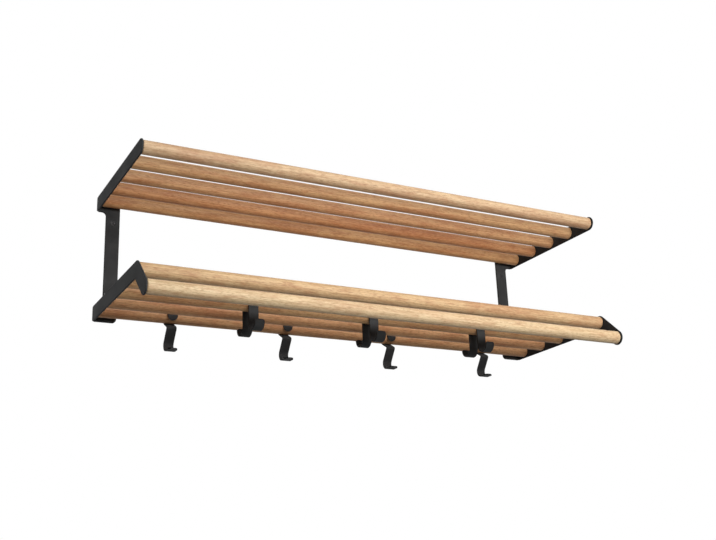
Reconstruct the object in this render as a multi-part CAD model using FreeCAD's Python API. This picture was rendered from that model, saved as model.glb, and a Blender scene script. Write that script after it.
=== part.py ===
# Wall hat shelf: two tiers of round oak bars between steel end frames, with a coat rail and sliding hooks
import FreeCAD
import Part
import math
import os

# Directions: +X along the wall, +Y into the wall, +Z up
# The wall is the plane Y = 0 and the origin is the middle of the four wall screws

# Overall sizes
TOTAL_WIDTH = 1000.0
TIER_SPACING = 224.5

# Round bars
BAR_DIAMETER = 26.0
BAR_PITCH = 65.5
BARS_PER_TIER = 5
BAR_END_CHAMFER = 1.8
REAR_BAR_SETBACK = 28.5

# End arms
ARM_THICKNESS = 3.0
ARM_RIM = 2.0
ARM_REAR_CORNER_RADIUS = 4.0
ARM_EDGE_RADIUS = 0.7
RAIL_REACH = 64.0
RAIL_DROP_ANGLE = 42.8
NOTCH_RADIUS = 6.0

# Wall plates
PLATE_THICKNESS = 4.0
PLATE_EDGE_RADIUS = 0.7
POST_WIDTH = 27.5
POST_INSET = 15.0
POST_FILLET_RADIUS = 8.0
FOOT_CORNER_RADIUS = 8.0
SCREW_SPACING_Z = 150.0
SCREW_HOLE_DIAMETER = 5.5
COUNTERSINK_DIAMETER = 10.0

# Bar pins
PIN_DIAMETER = 8.0
PIN_SEAT_DEPTH = 1.5
PIN_REACH = 25.0
PIN_CHAMFER = 0.8
PIN_FIT_CLEARANCE = 0.05
PIN_END_CLEARANCE = 0.5

# Hook straps
STRAP_WIDTH = 20.0
STRAP_THICKNESS = 3.0
STRAP_EDGE_RADIUS = 0.5
HOOK_CLEARANCE = 0.3

# Long hooks, which clip round the rear bar of the lower tier
LONG_HOOK_COUNT = 4
LONG_HOOK_LEFT_MARGIN = 142.0
LONG_HOOK_RIGHT_MARGIN = 121.0
TAB_ANGLE_BELOW_FRONT = 38.0
WRAP_STOP_ANGLE_BEFORE_BOTTOM = 30.0
STEM_RUN = 16.4
BEND_INNER_RADIUS = 2.0
BEND_ANGLE = 95.0
DROP_RUN = 26.5
BOWL_INNER_RADIUS = 11.0
LIP_RUN = 19.0
LIP_CORNER_RADIUS = 8.0

# Double hooks, which saddle the middle bar of the lower tier
DOUBLE_HOOK_COUNT = 3
DOUBLE_HOOK_LEFT_MARGIN = 256.0
DOUBLE_HOOK_RIGHT_MARGIN = 223.5
FRONT_LEG_RUN = 41.0
REAR_LEG_RUN = 38.5
CRADLE_INNER_RADIUS = 13.0
CRADLE_LIP_RUN = 2.5
CRADLE_CORNER_RADIUS = 5.0

# Making allowances
CUT_OVERRUN = 2.0
SHORTEST_EDGE = 0.001

# Sizes that follow from those above
BAR_RADIUS = BAR_DIAMETER / 2
BAR_LENGTH = TOTAL_WIDTH - 2 * ARM_THICKNESS
BAR_LEFT = -BAR_LENGTH / 2
ARM_HALF_WIDTH = BAR_RADIUS + ARM_RIM
UPPER_Z = TIER_SPACING / 2
LOWER_Z = -TIER_SPACING / 2
FRONT_BAR_Y = -REAR_BAR_SETBACK - (BARS_PER_TIER - 1) * BAR_PITCH
MIDDLE_BAR_Y = -REAR_BAR_SETBACK - (BARS_PER_TIER - 1) / 2 * BAR_PITCH
RAIL_DROP = math.radians(RAIL_DROP_ANGLE)
RAIL_Y = FRONT_BAR_Y - RAIL_REACH * math.cos(RAIL_DROP)
RAIL_Z = LOWER_Z - RAIL_REACH * math.sin(RAIL_DROP)
FOOT_WIDTH = POST_INSET + POST_WIDTH

X_AXIS = FreeCAD.Vector(1, 0, 0)
Y_AXIS = FreeCAD.Vector(0, 1, 0)
Z_AXIS = FreeCAD.Vector(0, 0, 1)
ORIGIN = FreeCAD.Vector(0, 0, 0)
QUARTER_TURN = 90.0
HALF_TURN = 180.0


# Outlines
def side_point(y, z):
    """A point of an outline that is drawn in the plane X = 0."""
    return FreeCAD.Vector(0, y, z)


def wall_point(x, z):
    """A point of an outline that is drawn in the wall plane."""
    return FreeCAD.Vector(x, 0, z)


def plan_point(x, y):
    """A point of an outline that is drawn in the plane Z = 0."""
    return FreeCAD.Vector(x, y, 0)


def rounded_face(corners, point):
    """A face whose outline passes the corners (a, b, radius), each rounded by a tangent arc."""
    count = len(corners)
    places = [point(a, b) for a, b, radius in corners]
    arcs = []
    for i, place in enumerate(places):
        back = (places[i - 1] - place).normalize()
        ahead = (places[(i + 1) % count] - place).normalize()
        half_angle = back.getAngle(ahead) / 2
        radius = corners[i][2]
        if radius > 0:
            reach = radius / math.tan(half_angle)
            middle_line = (back + ahead).normalize()
            middle = place + middle_line * (radius / math.sin(half_angle) - radius)
            arcs.append((place + back * reach, middle, place + ahead * reach))
        else:
            arcs.append((place, None, place))
    edges = []
    for i, (start, middle, end) in enumerate(arcs):
        if middle is not None:
            edges.append(Part.Arc(start, middle, end).toShape())
        following = arcs[(i + 1) % count][0]
        if end.distanceToPoint(following) > SHORTEST_EDGE:
            edges.append(Part.LineSegment(end, following).toShape())
    return Part.Face(Part.Wire(Part.sortEdges(edges)[0]))


def edges_in_planes(solid, axis, places):
    """The edges that lie wholly in one of the planes across the axis (0, 1 or 2)."""
    found = []
    for edge in solid.Edges:
        ends = [edge.valueAt(edge.FirstParameter), edge.valueAt(edge.LastParameter)]
        ends.append(edge.valueAt((edge.FirstParameter + edge.LastParameter) / 2))
        for place in places:
            if all(abs(end[axis] - place) < SHORTEST_EDGE for end in ends):
                found.append(edge)
    return found


# Bars and their pins
def bar_places():
    """Name, Y and Z of the axis of every bar."""
    places = []
    for tier, z in (("upper", UPPER_Z), ("lower", LOWER_Z)):
        for i in range(BARS_PER_TIER):
            places.append((f"{tier}_bar_{i + 1}", FRONT_BAR_Y + i * BAR_PITCH, z))
    places.append(("coat_rail", RAIL_Y, RAIL_Z))
    return places


def make_bar(y, z):
    """A round bar with chamfered ends and a blind bore for a pin in each end."""
    bar = Part.makeCylinder(BAR_RADIUS, BAR_LENGTH, FreeCAD.Vector(BAR_LEFT, y, z), X_AXIS)
    bar = bar.makeChamfer(BAR_END_CHAMFER, edges_in_planes(bar, 0, (BAR_LEFT, -BAR_LEFT)))
    bore_radius = PIN_DIAMETER / 2 + PIN_FIT_CLEARANCE
    bore_depth = PIN_REACH + PIN_END_CLEARANCE
    for side in (-1, 1):
        start = FreeCAD.Vector(side * (BAR_LENGTH / 2 + CUT_OVERRUN), y, z)
        bar = bar.cut(Part.makeCylinder(bore_radius, bore_depth + CUT_OVERRUN, start, X_AXIS * -side))
    return bar


def make_pins(side):
    """The pins of one end of the shelf, each seated in an arm and reaching into a bar."""
    pins = []
    length = PIN_SEAT_DEPTH + PIN_REACH
    for name, y, z in bar_places():
        start = FreeCAD.Vector(side * (BAR_LENGTH / 2 + PIN_SEAT_DEPTH), y, z)
        pin = Part.makeCylinder(PIN_DIAMETER / 2, length, start, X_AXIS * -side)
        inner_end = side * (BAR_LENGTH / 2 - PIN_REACH)
        pins.append(pin.makeChamfer(PIN_CHAMFER, edges_in_planes(pin, 0, (inner_end,))))
    return Part.makeCompound(pins)


# End arms
def finish_arm(outline, side, seats):
    """An arm plate with softened edges and a blind seat for each pin at (y, z) of seats."""
    inner = side * BAR_LENGTH / 2
    outer = side * TOTAL_WIDTH / 2
    arm = outline.extrude(X_AXIS * (outer - inner))
    arm.translate(X_AXIS * inner)
    arm = arm.makeFillet(ARM_EDGE_RADIUS, edges_in_planes(arm, 0, (inner, outer)))
    seat_radius = PIN_DIAMETER / 2 + PIN_FIT_CLEARANCE
    for y, z in seats:
        start = FreeCAD.Vector(inner - side * CUT_OVERRUN, y, z)
        depth = PIN_SEAT_DEPTH + CUT_OVERRUN
        arm = arm.cut(Part.makeCylinder(seat_radius, depth, start, X_AXIS * side))
    return arm


def seats_of(prefixes):
    return [(y, z) for name, y, z in bar_places() if name.startswith(prefixes)]


def make_upper_arm(side):
    """A straight arm with a round nose in front of the front bar."""
    low = UPPER_Z - ARM_HALF_WIDTH
    high = UPPER_Z + ARM_HALF_WIDTH
    nose = FRONT_BAR_Y - ARM_HALF_WIDTH
    corners = [
        (0, low, ARM_REAR_CORNER_RADIUS),
        (0, high, ARM_REAR_CORNER_RADIUS),
        (nose, high, ARM_HALF_WIDTH),
        (nose, low, ARM_HALF_WIDTH),
    ]
    return finish_arm(rounded_face(corners, side_point), side, seats_of("upper"))


def make_lower_arm(side):
    """An arm with a beak that drops forward from the front bar and carries the coat rail."""
    low = LOWER_Z - ARM_HALF_WIDTH
    high = LOWER_Z + ARM_HALF_WIDTH
    along = FreeCAD.Vector(0, -math.cos(RAIL_DROP), -math.sin(RAIL_DROP))
    across = FreeCAD.Vector(0, -math.sin(RAIL_DROP), math.cos(RAIL_DROP))
    tip = side_point(RAIL_Y, RAIL_Z) + along * ARM_HALF_WIDTH
    tip_high = tip + across * ARM_HALF_WIDTH
    tip_low = tip - across * ARM_HALF_WIDTH
    corners = [
        (0, low, ARM_REAR_CORNER_RADIUS),
        (0, high, ARM_REAR_CORNER_RADIUS),
        (FRONT_BAR_Y - ARM_HALF_WIDTH * math.tan(RAIL_DROP / 2), high, ARM_HALF_WIDTH),
        (tip_high.y, tip_high.z, ARM_HALF_WIDTH),
        (tip_low.y, tip_low.z, ARM_HALF_WIDTH),
        (FRONT_BAR_Y + ARM_HALF_WIDTH * math.tan(RAIL_DROP / 2), low, NOTCH_RADIUS),
    ]
    return finish_arm(rounded_face(corners, side_point), side, seats_of(("lower", "coat")))


# Wall plates
def make_wall_plate(side):
    """A flat post with a wider foot at each arm and two countersunk screw holes."""
    arm_face = side * BAR_LENGTH / 2
    post_outer = arm_face - side * POST_INSET
    post_inner = arm_face - side * FOOT_WIDTH
    corners = [
        (arm_face, UPPER_Z + ARM_HALF_WIDTH, 0),
        (post_inner, UPPER_Z + ARM_HALF_WIDTH, FOOT_CORNER_RADIUS),
        (post_inner, LOWER_Z - ARM_HALF_WIDTH, FOOT_CORNER_RADIUS),
        (arm_face, LOWER_Z - ARM_HALF_WIDTH, 0),
        (arm_face, LOWER_Z + ARM_HALF_WIDTH, 0),
        (post_outer, LOWER_Z + ARM_HALF_WIDTH, POST_FILLET_RADIUS),
        (post_outer, UPPER_Z - ARM_HALF_WIDTH, POST_FILLET_RADIUS),
        (arm_face, UPPER_Z - ARM_HALF_WIDTH, 0),
    ]
    plate = rounded_face(corners, wall_point).extrude(Y_AXIS * -PLATE_THICKNESS)
    front_edges = edges_in_planes(plate, 1, (-PLATE_THICKNESS,))
    welded_edges = edges_in_planes(plate, 0, (arm_face,))
    softened = [edge for edge in front_edges if not any(edge.isSame(other) for other in welded_edges)]
    plate = plate.makeFillet(PLATE_EDGE_RADIUS, softened)
    middle = arm_face - side * (POST_INSET + POST_WIDTH / 2)
    hole_radius = SCREW_HOLE_DIAMETER / 2
    sink_radius = COUNTERSINK_DIAMETER / 2
    sink_depth = sink_radius - hole_radius
    hole_length = PLATE_THICKNESS + 2 * CUT_OVERRUN
    for z in (-SCREW_SPACING_Z / 2, SCREW_SPACING_Z / 2):
        start = FreeCAD.Vector(middle, CUT_OVERRUN, z)
        plate = plate.cut(Part.makeCylinder(hole_radius, hole_length, start, Y_AXIS * -1))
        front = FreeCAD.Vector(middle, -PLATE_THICKNESS, z)
        plate = plate.cut(Part.makeCone(sink_radius, hole_radius, sink_depth, front, Y_AXIS))
    return plate


# Hook straps
def heading_vector(angle):
    """The unit vector in the YZ plane that lies at an angle in degrees above +Y."""
    return FreeCAD.Vector(0, math.cos(math.radians(angle)), math.sin(math.radians(angle)))


def bend_strap(start, heading, steps):
    """A flat strap along runs and turns in the YZ plane, and where its far end lies.

    A step is ("run", length) or ("turn", inner radius, angle), where a positive angle turns
    from +Y towards +Z.
    """
    half = STRAP_THICKNESS / 2
    place = start
    offset = heading_vector(heading + QUARTER_TURN) * half
    outline = [Part.LineSegment(place - offset, place + offset).toShape()]
    for step in steps:
        left = heading_vector(heading + QUARTER_TURN)
        if step[0] == "run":
            following = place + heading_vector(heading) * step[1]
            for offset in (left * half, left * -half):
                outline.append(Part.LineSegment(place + offset, following + offset).toShape())
            place = following
            continue
        radius = step[1] + half
        angle = step[2]
        turn = math.copysign(1, angle)
        centre = place + left * (radius * turn)
        spoke_angle = heading - turn * QUARTER_TURN
        for reach in (radius - half, radius + half):
            points = [centre + heading_vector(spoke_angle + angle * share) * reach for share in (0, 1 / 2, 1)]
            outline.append(Part.Arc(*points).toShape())
        place = centre + heading_vector(spoke_angle + angle) * radius
        heading = heading + angle
    offset = heading_vector(heading + QUARTER_TURN) * half
    outline.append(Part.LineSegment(place - offset, place + offset).toShape())
    face = Part.Face(Part.Wire(Part.sortEdges(outline)[0]))
    strap = face.extrude(X_AXIS * STRAP_WIDTH)
    strap.translate(X_AXIS * (-STRAP_WIDTH / 2))
    sides = (-STRAP_WIDTH / 2, STRAP_WIDTH / 2)
    return strap.makeFillet(STRAP_EDGE_RADIUS, edges_in_planes(strap, 0, sides)), place, heading


def round_strap_end(strap, tip, heading, radius):
    """The strap with the corners of the end at tip rounded, where heading points out of that end."""
    half_width = STRAP_WIDTH / 2
    depth = STRAP_THICKNESS + BAR_RADIUS / 2
    corners = [
        (-half_width, -STRAP_WIDTH, 0),
        (half_width, -STRAP_WIDTH, 0),
        (half_width, 0, radius),
        (-half_width, 0, radius),
    ]
    kept = rounded_face(corners, plan_point).extrude(Z_AXIS * (2 * depth))
    width = STRAP_WIDTH + 2 * CUT_OVERRUN
    corner = FreeCAD.Vector(-width / 2, -radius, 0)
    cutter = Part.makeBox(width, radius + CUT_OVERRUN, 2 * depth, corner).cut(kept)
    cutter.translate(Z_AXIS * -depth)
    cutter.rotate(ORIGIN, X_AXIS, heading)
    cutter.translate(tip)
    return strap.cut(cutter)


def make_long_hook():
    """A strap clipped round a bar at the origin, with a tab in front and a hook below."""
    wrap_inner_radius = BAR_RADIUS + HOOK_CLEARANCE
    wrap_radius = wrap_inner_radius + STRAP_THICKNESS / 2
    start_angle = HALF_TURN + TAB_ANGLE_BELOW_FRONT
    wrap_angle = start_angle + QUARTER_TURN - WRAP_STOP_ANGLE_BEFORE_BOTTOM
    start = heading_vector(start_angle) * wrap_radius
    heading = start_angle - QUARTER_TURN
    after_wrap = heading - wrap_angle
    after_bend = after_wrap + BEND_ANGLE
    bowl_angle = after_bend + HALF_TURN
    steps = [
        ("turn", wrap_inner_radius, -wrap_angle),
        ("run", STEM_RUN),
        ("turn", BEND_INNER_RADIUS, BEND_ANGLE),
        ("run", DROP_RUN),
        ("turn", BOWL_INNER_RADIUS, -bowl_angle),
        ("run", LIP_RUN),
    ]
    strap, tip, tip_heading = bend_strap(start, heading, steps)
    strap = round_strap_end(strap, start, heading + HALF_TURN, STRAP_WIDTH / 2)
    return round_strap_end(strap, tip, tip_heading, LIP_CORNER_RADIUS)


def make_double_hook():
    """A strap saddled over a bar at the origin, with a cradle in front and one behind."""
    wrap_inner_radius = BAR_RADIUS + HOOK_CLEARANCE
    leg_place = wrap_inner_radius + STRAP_THICKNESS / 2
    cradle_width = 2 * CRADLE_INNER_RADIUS + STRAP_THICKNESS
    start = side_point(-leg_place - cradle_width, CRADLE_LIP_RUN - FRONT_LEG_RUN)
    steps = [
        ("run", CRADLE_LIP_RUN),
        ("turn", CRADLE_INNER_RADIUS, HALF_TURN),
        ("run", FRONT_LEG_RUN),
        ("turn", wrap_inner_radius, -HALF_TURN),
        ("run", REAR_LEG_RUN),
        ("turn", CRADLE_INNER_RADIUS, HALF_TURN),
        ("run", CRADLE_LIP_RUN),
    ]
    strap, tip, tip_heading = bend_strap(start, -QUARTER_TURN, steps)
    strap = round_strap_end(strap, start, QUARTER_TURN, CRADLE_CORNER_RADIUS)
    return round_strap_end(strap, tip, tip_heading, CRADLE_CORNER_RADIUS)


def set_in_row(pattern, left_margin, right_margin, count, y, z):
    """Evenly spaced copies of a hook along a bar, between a margin from each end of it."""
    pitch = (BAR_LENGTH - left_margin - right_margin) / (count - 1)
    copies = []
    for i in range(count):
        copy = pattern.copy()
        copy.translate(FreeCAD.Vector(BAR_LEFT + left_margin + i * pitch, y, z))
        copies.append(copy)
    return copies


def make_nodes():
    """Every piece of the shelf by name."""
    nodes = {}
    for name, y, z in bar_places():
        nodes[name] = make_bar(y, z)
    for side_name, side in (("left", -1), ("right", 1)):
        nodes[f"upper_arm_{side_name}"] = make_upper_arm(side)
        nodes[f"lower_arm_{side_name}"] = make_lower_arm(side)
        nodes[f"wall_plate_{side_name}"] = make_wall_plate(side)
        nodes[f"bar_pins_{side_name}"] = make_pins(side)
    long_hooks = set_in_row(make_long_hook(), LONG_HOOK_LEFT_MARGIN, LONG_HOOK_RIGHT_MARGIN,
                            LONG_HOOK_COUNT, -REAR_BAR_SETBACK, LOWER_Z)
    for i, hook in enumerate(long_hooks):
        nodes[f"long_hook_{i + 1}"] = hook
    double_hooks = set_in_row(make_double_hook(), DOUBLE_HOOK_LEFT_MARGIN, DOUBLE_HOOK_RIGHT_MARGIN,
                              DOUBLE_HOOK_COUNT, MIDDLE_BAR_Y, LOWER_Z)
    for i, hook in enumerate(double_hooks):
        nodes[f"double_hook_{i + 1}"] = hook
    return nodes


os.makedirs("parts", exist_ok=True)
for node_name, shape in make_nodes().items():
    shape.exportStep(f"parts/{node_name}.step")
    box = shape.BoundBox
    print(node_name, len(shape.Solids), shape.isValid(), round(shape.Volume),
          [round(value, 1) for value in (box.XMin, box.XMax, box.YMin, box.YMax, box.ZMin, box.ZMax)])
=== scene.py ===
# Wall hat shelf: oiled oak bars, powder-coated steel frames and hooks, plain studio
import math
import random

import bpy
from mathutils import Matrix, Vector


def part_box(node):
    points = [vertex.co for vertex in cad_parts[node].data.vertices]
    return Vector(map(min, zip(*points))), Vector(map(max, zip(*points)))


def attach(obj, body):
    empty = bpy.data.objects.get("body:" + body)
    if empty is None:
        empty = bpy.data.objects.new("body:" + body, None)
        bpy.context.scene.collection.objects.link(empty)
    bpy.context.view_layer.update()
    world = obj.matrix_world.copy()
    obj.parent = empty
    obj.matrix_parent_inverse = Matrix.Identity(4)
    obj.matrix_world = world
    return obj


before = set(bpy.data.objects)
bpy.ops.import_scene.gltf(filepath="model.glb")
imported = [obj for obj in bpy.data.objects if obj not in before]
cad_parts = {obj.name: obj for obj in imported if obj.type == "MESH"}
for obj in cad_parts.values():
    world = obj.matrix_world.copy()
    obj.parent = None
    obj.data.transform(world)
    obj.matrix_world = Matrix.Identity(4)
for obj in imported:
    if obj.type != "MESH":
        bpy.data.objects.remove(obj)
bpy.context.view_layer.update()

SEED = 11
FULL_TURN = 2 * math.pi

# Camera, fitted to the photograph: place in metres, angles in degrees, lens in millimetres
CAMERA_PLACE = (-0.950514, -1.889531, -0.664999)
CAMERA_YAW = 28.625
CAMERA_PITCH = 18.281
CAMERA_ROLL = -2.355
CAMERA_REACH = 200.0
SENSOR_WIDTH = 36.0
LENS = 51.513

# Studio, in metres and degrees
FLOOR_HEIGHT = -2.3
FLOOR_SIZE = 60.0
FLOOR_COLOR = (0.86, 0.86, 0.86)
FLOOR_GLOW = 0.75
FLOOR_ROUGHNESS = 0.8
WHITE = (1.0, 1.0, 1.0)
AMBIENT = 0.07
LAMP_SPREAD = 100.0
# Each lamp's name, place, the point it shines at, its width and height, and its power in watts
LAMPS = (
    ("front", (0.35, -2.0, -0.23), (0.0, -0.2, -0.05), (1.6, 0.34), 9.4),
    ("high", (0.25, -1.75, 0.95), (0.0, -0.15, -0.05), (1.6, 0.7), 9.0),
    ("rear", (0.4, 2.0, 0.7), (0.0, -0.15, 0.0), (1.6, 0.8), 14.0),
)

# Screws in the wall plates, in metres
SCREW_INSET = 0.02875
SCREW_HEIGHT = 0.075
SCREW_SIDES = 48
SCREW_LOBES = 6
SCREW_LOBE_SHARE = 0.16
# Each ring's depth and radius, and whether it belongs to the lobed drive
SCREW_RINGS = (
    (0.0000, 0.00240, False),
    (0.0018, 0.00240, False),
    (0.0036, 0.00455, False),
    (0.0039, 0.00455, False),
    (0.0039, 0.00215, True),
    (0.0026, 0.00200, True),
)

# Colours, as linear values
OAK_LIGHT = (0.68, 0.42, 0.215)
OAK_MID = (0.56, 0.32, 0.15)
OAK_DARK = (0.33, 0.155, 0.062)
OAK_PORE = (0.16, 0.075, 0.032)
OAK_PINK = (0.47, 0.215, 0.100)
COAT_BLACK = (0.036, 0.0368, 0.0376)
COAT_GREY = (0.074, 0.0752, 0.0765)
# Painted shade on the rounded edges of the coat
COAT_EDGE_SHADE = (0.004, 0.0042, 0.0045)
PIN_STEEL = (0.55, 0.55, 0.56)
PIN_DULL = (0.38, 0.38, 0.39)
SCREW_BLACK = (0.008, 0.008, 0.009)
# Share of red, green and blue by which the oak of a bar differs; partly the wood's own tone and partly
# painted light and shade, darker on the upper bars behind the front one and lighter on the rear lower bars
OAK_TONE_AND_PAINTED_LIGHT = {
    "upper_bar_1": (0.96, 1.12, 1.33),
    "upper_bar_2": (0.90, 0.88, 0.85),
    "upper_bar_3": (0.92, 0.86, 0.83),
    "upper_bar_4": (0.86, 0.72, 0.64),
    "upper_bar_5": (0.88, 0.82, 0.74),
    "lower_bar_1": (0.94, 1.06, 1.14),
    "lower_bar_2": (1.00, 1.00, 0.98),
    "lower_bar_3": (1.08, 1.10, 1.08),
    "lower_bar_4": (1.12, 1.04, 1.04),
    "lower_bar_5": (1.08, 1.04, 1.04),
    "coat_rail": (1.09, 1.37, 1.64),
}

# Growth rings, in metres: least and greatest distance of the pith, least and greatest ring width
PITH_DISTANCE = (0.05, 0.11)
RING_WIDTH = (0.0028, 0.0040)
# Least and greatest lean of the rings, as a slope along the bar
RING_LEAN = (-0.022, 0.022)
# Wander of the rings: its reach in metres, noise cells per metre, detail and roughness of the noise
RING_WANDER = 0.018
WANDER_SCALE = (2.2, 9.0, 9.0)
WANDER_NOISE = (2.0, 0.5)
# Stretch of the noise in which a bar's wander and its markings begin
WANDER_START = (0, 90)
MARK_START = (0, 50)
# Shares of a ring's width: over which its dark first line fades, its dense wood sets in and its
# porous wood ends
LINE_FADE = (0.0, 0.16)
DENSE_RISE = (0.30, 1.0)
POROUS_END = (0.15, 0.45)
DENSE_SHARE = 0.55
LINE_SHARE = 0.35

# Markings of the oak: noise cells per metre along and across the bar, detail and roughness
OAK_MARKS = {
    "broad": (5.0, 24.0, 3.0, 0.6),
    "mottle": (26.0, 110.0, 3.0, 0.65),
    "streak": (8.0, 190.0, 4.0, 0.65),
    "grain": (14.0, 420.0, 2.0, 0.6),
    "dash": (120.0, 560.0, 1.0, 0.5),
    "fibre": (45.0, 1500.0, 2.0, 0.6),
    "pore": (85.0, 2600.0, 1.0, 0.4),
}
# Share of pink wood in the broad tone changes; the coat rail is more even
BROAD_RANGE = (0.40, 0.66)
OAK_BLUSH = 0.8
RAIL_BLUSH = 0.4
# Colours laid over the rings in turn: marking, its range, share at both ends of the range, colour
OAK_LAYERS = (
    ("mottle", (0.46, 0.66, 0.0, 0.55), OAK_PINK),
    ("mottle", (0.30, 0.46, 0.5, 0.0), OAK_LIGHT),
    ("streak", (0.48, 0.78, 0.0, 0.65), OAK_DARK),
    ("streak", (0.22, 0.44, 0.45, 0.0), OAK_LIGHT),
    ("grain", (0.48, 0.74, 0.0, 0.55), OAK_DARK),
    ("grain", (0.26, 0.46, 0.40, 0.0), OAK_LIGHT),
    ("dash", (0.54, 0.68, 0.0, 0.45), OAK_DARK),
    ("dash", (0.32, 0.44, 0.35, 0.0), OAK_LIGHT),
    ("fibre", (0.50, 0.80, 0.0, 0.30), OAK_DARK),
)
# Pores: range of their marking, share of their colour, and how many lie in porous and dense wood
PORE_RANGE = (0.60, 0.68)
PORE_SHARE = 0.7
PORES_MORE_IN_POROUS = 0.75
PORES_EVERYWHERE = 0.25
# Relief of the oak, as shares of the bump's depth
FIBRE_RELIEF = 0.35
PORE_RELIEF = -0.9
DENSE_RELIEF = 0.12
OAK_ROUGHNESS = (0.2, 0.8, 0.42, 0.58)
PORE_ROUGHNESS = 0.2
OAK_SHINE = 0.22

# Markings of the metals: noise cells per metre along X and along Y and Z, detail and roughness
COAT_PEEL = (1500.0, 1500.0, 2.0, 0.5)
COAT_CLOUD = (14.0, 14.0, 3.0, 0.55)
COAT_PATCH = (160.0, 160.0, 2.0, 0.6)
COAT_SPECK = (3100.0, 3100.0, 1.0, 0.5)
SCREW_GRAIN = (900.0, 900.0, 3.0, 0.6)
PIN_TURNING = (4000.0, 60.0, 2.0, 0.6)
# Ranges of the markings, with the values at both ends where these aren't 0 and 1
SPECK_RANGE = (0.66, 0.74)
RIM_START = (0.10, 0.40)
RIM_END = (0.90, 0.995, 1.0, 0.0)
# Patchy share of the painted shade on the rounded edges
EDGE_SHADE_SHARE = (0.30, 0.65, 0.55, 0.95)
CLOUD_SHARE = (0.3, 0.7, 0.1, 0.65)
COAT_ROUGHNESS = (0.25, 0.75, 0.50, 0.62)
SCREW_GRAIN_SHARE = (0.35, 0.7, 0.0, 0.5)
SCREW_ROUGHNESS = (0.2, 0.8, 0.26, 0.42)
PIN_DULL_SHARE = (0.3, 0.7, 0.0, 0.4)
PIN_ROUGHNESS = (0.2, 0.8, 0.25, 0.4)
# Single values of the metals
SPECK_SHARE = 0.3
COAT_SHINE = 0.04
RIM_SHINE_CHANGE = -0.02
SCREW_SHINE = 0.5
# Bump of each material: strength, and depth in metres
OAK_BUMP = (0.5, 0.00012)
COAT_BUMP = (0.4, 0.00006)
SCREW_BUMP = (0.3, 0.00003)
PIN_BUMP = (0.3, 0.00004)


class Graph:
    """A short way to write the nodes of a material or of the surroundings."""

    def __init__(self, owner, output="ShaderNodeOutputMaterial"):
        self.owner = owner
        self.owner.use_nodes = True
        self.tree = self.owner.node_tree
        self.tree.nodes.clear()
        self.output = self.tree.nodes.new(output)

    def node(self, kind, inputs=None, **settings):
        made = self.tree.nodes.new(kind)
        for key, value in settings.items():
            setattr(made, key, value)
        for key, value in (inputs or {}).items():
            self.feed(made.inputs[key], value)
        return made

    def feed(self, socket, value):
        if isinstance(value, bpy.types.NodeSocket):
            self.tree.links.new(value, socket)
        elif isinstance(value, tuple) and socket.type == "RGBA":
            socket.default_value = (*value, 1.0)
        else:
            socket.default_value = value

    def math(self, operation, a, b=0.0, c=0.0):
        return self.node("ShaderNodeMath", {0: a, 1: b, 2: c}, operation=operation).outputs[0]

    def scaled(self, vector, scale):
        inputs = {0: vector, 1: scale}
        return self.node("ShaderNodeVectorMath", inputs, operation="MULTIPLY").outputs[0]

    def moved(self, vector, offset):
        inputs = {0: vector, 1: offset}
        return self.node("ShaderNodeVectorMath", inputs, operation="ADD").outputs[0]

    def from_piece(self, kind):
        return self.node("ShaderNodeTexCoord").outputs[kind]

    def noise(self, vector, detail, roughness):
        inputs = {"Vector": vector, "Scale": 1.0, "Detail": detail, "Roughness": roughness}
        return self.node("ShaderNodeTexNoise", inputs).outputs["Fac"]

    def mark(self, place, along, across, detail, roughness):
        return self.noise(self.scaled(place, (along, across, across)), detail, roughness)

    def spread(self, value, low, high, to_low=0.0, to_high=1.0):
        inputs = {"Value": value, "From Min": low, "From Max": high, "To Min": to_low, "To Max": to_high}
        return self.node("ShaderNodeMapRange", inputs, interpolation_type="SMOOTHSTEP").outputs[0]

    def mix(self, share, a, b):
        inputs = {"Factor": share, "A": a, "B": b}
        return self.node("ShaderNodeMix", inputs, data_type="RGBA").outputs["Result"]

    def bump(self, height, strength, depth):
        inputs = {"Strength": strength, "Distance": depth, "Height": height}
        return self.node("ShaderNodeBump", inputs).outputs[0]

    def seen(self):
        """One for the camera, reflections and what is seen through a piece, nought for soft light."""
        rays = self.node("ShaderNodeLightPath").outputs
        most = self.math("MAXIMUM", rays["Is Camera Ray"], rays["Is Glossy Ray"])
        return self.math("MAXIMUM", most, rays["Is Transmission Ray"])

    def finish(self, **inputs):
        shader = self.node("ShaderNodeBsdfPrincipled")
        for key, value in inputs.items():
            self.feed(shader.inputs[key.replace("_", " ")], value)
        self.tree.links.new(shader.outputs[0], self.output.inputs["Surface"])
        return self.owner


def material_graph(name):
    return Graph(bpy.data.materials.new(name))


# Growth rings round a pith that lies beside the bar; the value runs from 0 to 1 across each ring
def make_rings(graph, place, middle, chance):
    angle = chance.uniform(0, FULL_TURN)
    away = chance.uniform(*PITH_DISTANCE)
    pith = (0.0, -middle.y + away * math.cos(angle), -middle.z + away * math.sin(angle))
    start = (chance.uniform(*WANDER_START), 0, 0)
    wander = graph.noise(graph.moved(graph.scaled(place, WANDER_SCALE), start), *WANDER_NOISE)
    parts = graph.node("ShaderNodeSeparateXYZ", {0: graph.moved(place, pith)}).outputs
    squares = []
    for part in (parts[1], parts[2]):
        lean = graph.math("MULTIPLY", parts[0], chance.uniform(*RING_LEAN))
        leaning = graph.math("ADD", part, lean)
        squares.append(graph.math("MULTIPLY", leaning, leaning))
    radius = graph.math("SQRT", graph.math("ADD", *squares))
    radius = graph.math("ADD", radius, graph.math("MULTIPLY", wander, RING_WANDER))
    return graph.math("FRACT", graph.math("DIVIDE", radius, chance.uniform(*RING_WIDTH)))


# Pores, thickest in the porous wood of each ring
def make_pores(graph, mark, ring):
    porous = graph.math("SUBTRACT", 1.0, graph.spread(ring, *POROUS_END))
    number = graph.math("ADD", graph.math("MULTIPLY", porous, PORES_MORE_IN_POROUS), PORES_EVERYWHERE)
    return graph.math("MULTIPLY", graph.spread(mark, *PORE_RANGE), number)


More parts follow.
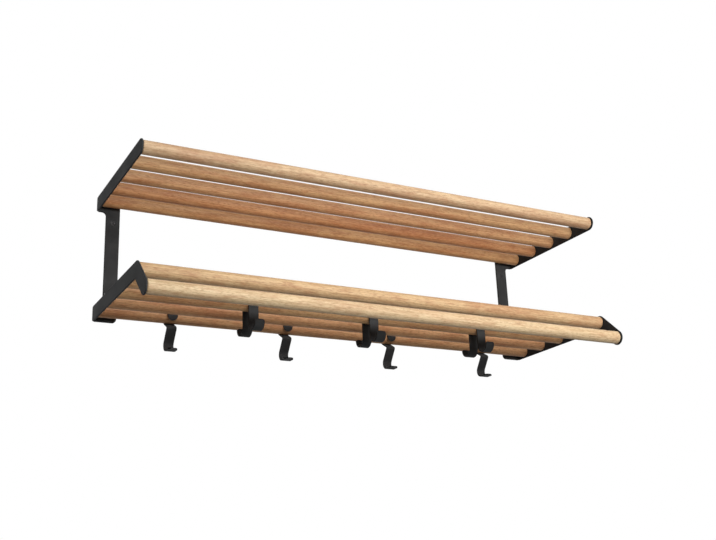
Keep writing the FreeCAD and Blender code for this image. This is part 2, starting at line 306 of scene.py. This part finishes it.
# Oak: growth rings, broad tone changes, mottle, streaks, grain, dashes, fibres and pores
def make_oak(name, middle, chance):
    graph = material_graph("oak_" + name)
    place = graph.from_piece("Object")
    ring = make_rings(graph, place, middle, chance)
    line = graph.math("SUBTRACT", 1.0, graph.spread(ring, *LINE_FADE))
    dense = graph.spread(ring, *DENSE_RISE)
    seeded = graph.moved(place, tuple(chance.uniform(*MARK_START) for _ in range(3)))
    marks = {key: graph.mark(seeded, *values) for key, values in OAK_MARKS.items()}
    pores = make_pores(graph, marks["pore"], ring)
    color = graph.mix(graph.math("MULTIPLY", dense, DENSE_SHARE), OAK_LIGHT, OAK_MID)
    color = graph.mix(graph.math("MULTIPLY", line, LINE_SHARE), color, OAK_DARK)
    blush = RAIL_BLUSH if name == "coat_rail" else OAK_BLUSH
    color = graph.mix(graph.spread(marks["broad"], *BROAD_RANGE, 0.0, blush), color, OAK_PINK)
    for key, shares, tone in OAK_LAYERS:
        color = graph.mix(graph.spread(marks[key], *shares), color, tone)
    color = graph.mix(graph.math("MULTIPLY", pores, PORE_SHARE), color, OAK_PORE)
    # The bar's own tone, with painted light and shade laid over the whole bar
    color = graph.scaled(color, OAK_TONE_AND_PAINTED_LIGHT[name])
    height = graph.math("MULTIPLY", marks["fibre"], FIBRE_RELIEF)
    height = graph.math("ADD", height, graph.math("MULTIPLY", pores, PORE_RELIEF))
    height = graph.math("ADD", height, graph.math("MULTIPLY", dense, DENSE_RELIEF))
    rough = graph.spread(marks["streak"], *OAK_ROUGHNESS)
    rough = graph.math("ADD", rough, graph.math("MULTIPLY", pores, PORE_ROUGHNESS))
    return graph.finish(Base_Color=color, Roughness=rough, Normal=graph.bump(height, *OAK_BUMP),
                        Specular_IOR_Level=OAK_SHINE)


# Powder coat: fine orange peel, faint specks and cloud, and painted shade as a darker, patchy line on the
# rounded edges
def make_powder_coat(name, flat_axis):
    graph = material_graph(name)
    place = graph.from_piece("Object")
    peel = graph.mark(place, *COAT_PEEL)
    cloud = graph.mark(place, *COAT_CLOUD)
    patch = graph.mark(place, *COAT_PATCH)
    speck = graph.spread(graph.mark(place, *COAT_SPECK), *SPECK_RANGE)
    facing = graph.node("ShaderNodeSeparateXYZ", {0: graph.from_piece("Normal")})
    lean = graph.math("ABSOLUTE", facing.outputs[flat_axis])
    on_edge = graph.math("MULTIPLY", graph.spread(lean, *RIM_START), graph.spread(lean, *RIM_END))
    # Painted shade: the rounded edges darkened in patches
    painted_edge_shade = graph.math("MULTIPLY", on_edge, graph.spread(patch, *EDGE_SHADE_SHARE))
    color = graph.mix(graph.spread(cloud, *CLOUD_SHARE), COAT_BLACK, COAT_GREY)
    color = graph.mix(graph.math("MULTIPLY", speck, SPECK_SHARE), color, COAT_GREY)
    color = graph.mix(painted_edge_shade, color, COAT_EDGE_SHADE)
    shine = graph.math("MULTIPLY_ADD", painted_edge_shade, RIM_SHINE_CHANGE, COAT_SHINE)
    return graph.finish(Base_Color=color, Roughness=graph.spread(cloud, *COAT_ROUGHNESS),
                        Normal=graph.bump(peel, *COAT_BUMP), Specular_IOR_Level=shine)


# Blackened steel of the screws
def make_black_steel(name):
    graph = material_graph(name)
    grain = graph.mark(graph.from_piece("Object"), *SCREW_GRAIN)
    color = graph.mix(graph.spread(grain, *SCREW_GRAIN_SHARE), SCREW_BLACK, COAT_BLACK)
    return graph.finish(Base_Color=color, Roughness=graph.spread(grain, *SCREW_ROUGHNESS),
                        Normal=graph.bump(grain, *SCREW_BUMP), Specular_IOR_Level=SCREW_SHINE)


# Plain turned steel of the bar pins
def make_pin_steel(name):
    graph = material_graph(name)
    turned = graph.mark(graph.from_piece("Object"), *PIN_TURNING)
    color = graph.mix(graph.spread(turned, *PIN_DULL_SHARE), PIN_STEEL, PIN_DULL)
    return graph.finish(Base_Color=color, Metallic=1.0, Roughness=graph.spread(turned, *PIN_ROUGHNESS),
                        Normal=graph.bump(turned, *PIN_BUMP))


# The flat faces of the arms look along X, those of the wall plates along Y
def dress_nodes():
    chance = random.Random(SEED)
    coat_arm = make_powder_coat("powder_coat_arm", 0)
    coat_plate = make_powder_coat("powder_coat_plate", 1)
    pin_steel = make_pin_steel("pin_steel")
    for name, node in sorted(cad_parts.items()):
        if "_bar_" in name or name == "coat_rail":
            low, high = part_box(name)
            material = make_oak(name, (low + high) / 2, chance)
        elif name.startswith("bar_pins"):
            material = pin_steel
        elif name.startswith("wall_plate"):
            material = coat_plate
        else:
            material = coat_arm
        node.data.materials.clear()
        node.data.materials.append(material)


def add_object(name, content):
    made = bpy.data.objects.new(name, content)
    bpy.context.scene.collection.objects.link(made)
    return made


# A countersunk screw with a six-lobed drive, its head towards the room
def make_screw(name, x, z, material):
    points = []
    for depth, radius, lobed in SCREW_RINGS:
        for i in range(SCREW_SIDES):
            turn = FULL_TURN * i / SCREW_SIDES
            wave = 1.0 + SCREW_LOBE_SHARE * math.cos(SCREW_LOBES * turn) if lobed else 1.0
            points.append((x + radius * wave * math.cos(turn), -depth, z + radius * wave * math.sin(turn)))
    last = (len(SCREW_RINGS) - 1) * SCREW_SIDES
    faces = []
    for low in range(0, last, SCREW_SIDES):
        high = low + SCREW_SIDES
        for i in range(SCREW_SIDES):
            j = (i + 1) % SCREW_SIDES
            faces.append((low + i, low + j, high + j, high + i))
    faces.append(tuple(reversed(range(SCREW_SIDES))))
    faces.append(tuple(last + i for i in range(SCREW_SIDES)))
    mesh = bpy.data.meshes.new(name)
    mesh.from_pydata(points, [], faces)
    mesh.materials.append(material)
    screw = add_object(name, mesh)
    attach(screw, "frame")


# One screw in each of the four holes of the wall plates
def make_screws():
    screw_black = make_black_steel("screw_black")
    for side_name in ("left", "right"):
        plate_low, plate_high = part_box("wall_plate_" + side_name)
        x = plate_low.x + SCREW_INSET if side_name == "left" else plate_high.x - SCREW_INSET
        for level_name, z in (("upper", SCREW_HEIGHT), ("lower", -SCREW_HEIGHT)):
            make_screw(f"screw_{level_name}_{side_name}", x, z, screw_black)


# Pale floor far below the shelf, which glows only where it is looked at
def make_floor():
    half = FLOOR_SIZE / 2
    corners = [(-half, -half, FLOOR_HEIGHT), (half, -half, FLOOR_HEIGHT),
               (half, half, FLOOR_HEIGHT), (-half, half, FLOOR_HEIGHT)]
    mesh = bpy.data.meshes.new("floor")
    mesh.from_pydata(corners, [], [(0, 1, 2, 3)])
    floor = add_object("floor", mesh)
    graph = material_graph("floor")
    glow = graph.math("MULTIPLY", graph.seen(), FLOOR_GLOW)
    mesh.materials.append(graph.finish(Base_Color=FLOOR_COLOR, Roughness=FLOOR_ROUGHNESS,
                                       Specular_IOR_Level=0.0, Emission_Color=FLOOR_COLOR,
                                       Emission_Strength=glow))


# Surroundings that look white but light the shelf only dimly
def make_surroundings():
    world = bpy.data.worlds.new("studio")
    graph = Graph(world, "ShaderNodeOutputWorld")
    inputs = {"Value": graph.seen(), "To Min": AMBIENT, "To Max": 1.0}
    strength = graph.node("ShaderNodeMapRange", inputs).outputs[0]
    background = graph.node("ShaderNodeBackground", {"Color": WHITE, "Strength": strength})
    graph.feed(graph.output.inputs["Surface"], background.outputs[0])
    bpy.context.scene.world = world


def make_lamp(name, place, aim, size, watts):
    lamp = bpy.data.lights.new(name, "AREA")
    lamp.shape = "RECTANGLE"
    lamp.size, lamp.size_y = size
    lamp.energy = watts
    lamp.spread = math.radians(LAMP_SPREAD)
    holder = add_object(name, lamp)
    holder.location = place
    holder.rotation_euler = (Vector(aim) - Vector(place)).to_track_quat("-Z", "Y").to_euler()


def make_camera():
    yaw, pitch, roll = (math.radians(angle) for angle in (CAMERA_YAW, CAMERA_PITCH, CAMERA_ROLL))
    ahead = Vector((math.sin(yaw) * math.cos(pitch), math.cos(yaw) * math.cos(pitch), math.sin(pitch)))
    level_right = Vector((math.cos(yaw), -math.sin(yaw), 0.0))
    level_up = level_right.cross(ahead)
    right = math.cos(roll) * level_right + math.sin(roll) * level_up
    up = -math.sin(roll) * level_right + math.cos(roll) * level_up
    turn = Matrix((right, up, -ahead)).transposed().to_4x4()
    lens = bpy.data.cameras.new("camera")
    lens.sensor_fit = "HORIZONTAL"
    lens.sensor_width = SENSOR_WIDTH
    lens.lens = LENS
    lens.clip_end = CAMERA_REACH
    camera = add_object("camera", lens)
    camera.matrix_world = Matrix.Translation(CAMERA_PLACE) @ turn
    bpy.context.scene.camera = camera


dress_nodes()
make_screws()
make_floor()
make_surroundings()
for lamp_values in LAMPS:
    make_lamp(*lamp_values)
make_camera()
bpy.context.scene.view_settings.view_transform = "Standard"
